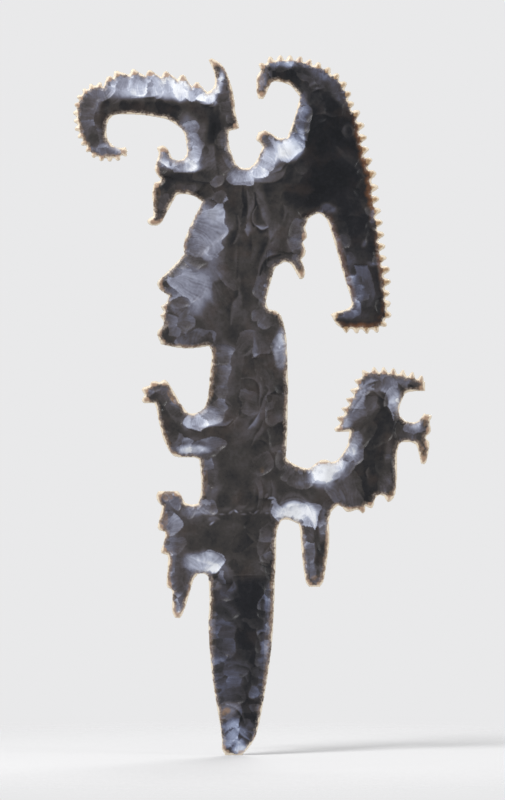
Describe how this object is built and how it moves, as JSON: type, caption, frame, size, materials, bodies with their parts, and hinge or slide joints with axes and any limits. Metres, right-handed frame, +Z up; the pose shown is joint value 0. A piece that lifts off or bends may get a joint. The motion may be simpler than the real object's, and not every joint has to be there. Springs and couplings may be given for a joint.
{
  "type": "eccentric flint figure blade",
  "caption": "Knapped chert ceremonial blade chipped into a profile figure with toothed plumes over a long tapering tang.",
  "frame": {"origin": "middle of the blunt facet at the blade's tip, on the mid-plane of the stone", "axes": "+Z up the figure from the blade's tip to the plumes, +X towards the figure's back, -Y towards the face that the picture shows"},
  "size_m": [0.1793, 0.0102, 0.3498],
  "materials": {
    "dark_chert": "waxy knapped chert, dark grey-brown where thick",
    "black_chert": "waxy knapped chert, near black and smooth",
    "smoky_chert": "waxy knapped chert, smoky grey with amber translucent edges"
  },
  "bodies": {
    "root": {"blade": "dark_chert", "waist": "dark_chert", "front_leg": "smoky_chert", "torso": "dark_chert", "arm": "smoky_chert", "hand": "smoky_chert", "head": "dark_chert", "nape_spur": "smoky_chert", "headdress": "smoky_chert", "brow_volute": "smoky_chert", "horn": "smoky_chert", "front_plume_arch": "smoky_chert", "front_plume_curl": "smoky_chert", "back_prong": "smoky_chert", "back_hook": "smoky_chert", "back_crown": "black_chert", "back_plume": "black_chert", "back_plume_tip": "black_chert", "rear_arm": "smoky_chert", "back_leg": "smoky_chert", "rear_jaw": "smoky_chert", "rear_crest": "smoky_chert", "rear_snout": "smoky_chert"}
  },
  "joints": []
}
